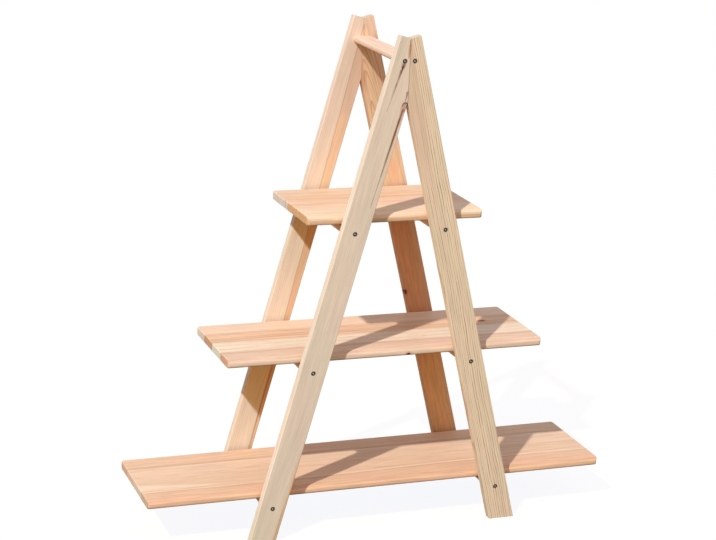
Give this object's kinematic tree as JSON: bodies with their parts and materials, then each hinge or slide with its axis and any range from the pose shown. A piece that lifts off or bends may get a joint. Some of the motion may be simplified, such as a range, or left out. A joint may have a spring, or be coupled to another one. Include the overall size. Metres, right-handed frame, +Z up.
{
  "type": "plant ladder stand",
  "caption": "Free-standing wooden plant ladder: two mitred A-shaped frames joined by round rungs and a rounded top rail, carrying stepped shelves that grow longer towards the floor.",
  "frame": {"origin": "centre of the footprint at floor level, under the middle of the shelves", "axes": "+X along the shelves, to the right seen from the front; +Y from the front frame to the rear frame; +Z up"},
  "size_m": [1.017, 0.283, 1.05],
  "materials": {
    "leg_pine": "bare planed pine, fine matt",
    "rail_pine": "bare planed pine, fine matt",
    "rung_pine": "bare turned pine dowel, fine matt",
    "shelf_pine": "bare edge-glued pine staves, sanded",
    "zinc_screw": "zinc-plated, satin"
  },
  "bodies": {
    "root": {"front_left_leg": "leg_pine", "front_right_leg": "leg_pine", "rear_left_leg": "leg_pine", "rear_right_leg": "leg_pine", "top_rail": "rail_pine", "top_left_rung": "rung_pine", "top_right_rung": "rung_pine", "middle_left_rung": "rung_pine", "middle_right_rung": "rung_pine", "bottom_left_rung": "rung_pine", "bottom_right_rung": "rung_pine", "top_shelf_stave_1": "shelf_pine", "top_shelf_stave_2": "shelf_pine", "top_shelf_stave_3": "shelf_pine", "top_shelf_stave_4": "shelf_pine", "middle_shelf_stave_1": "shelf_pine", "middle_shelf_stave_2": "shelf_pine", "middle_shelf_stave_3": "shelf_pine", "middle_shelf_stave_4": "shelf_pine", "bottom_shelf_stave_1": "shelf_pine", "bottom_shelf_stave_2": "shelf_pine", "bottom_shelf_stave_3": "shelf_pine", "bottom_shelf_stave_4": "shelf_pine", "front_rail_screws": "zinc_screw", "rear_rail_screws": "zinc_screw", "front_rung_screws": "zinc_screw", "rear_rung_screws": "zinc_screw", "top_shelf_screws": "zinc_screw", "middle_shelf_screws": "zinc_screw", "bottom_shelf_screws": "zinc_screw"}
  },
  "joints": []
}
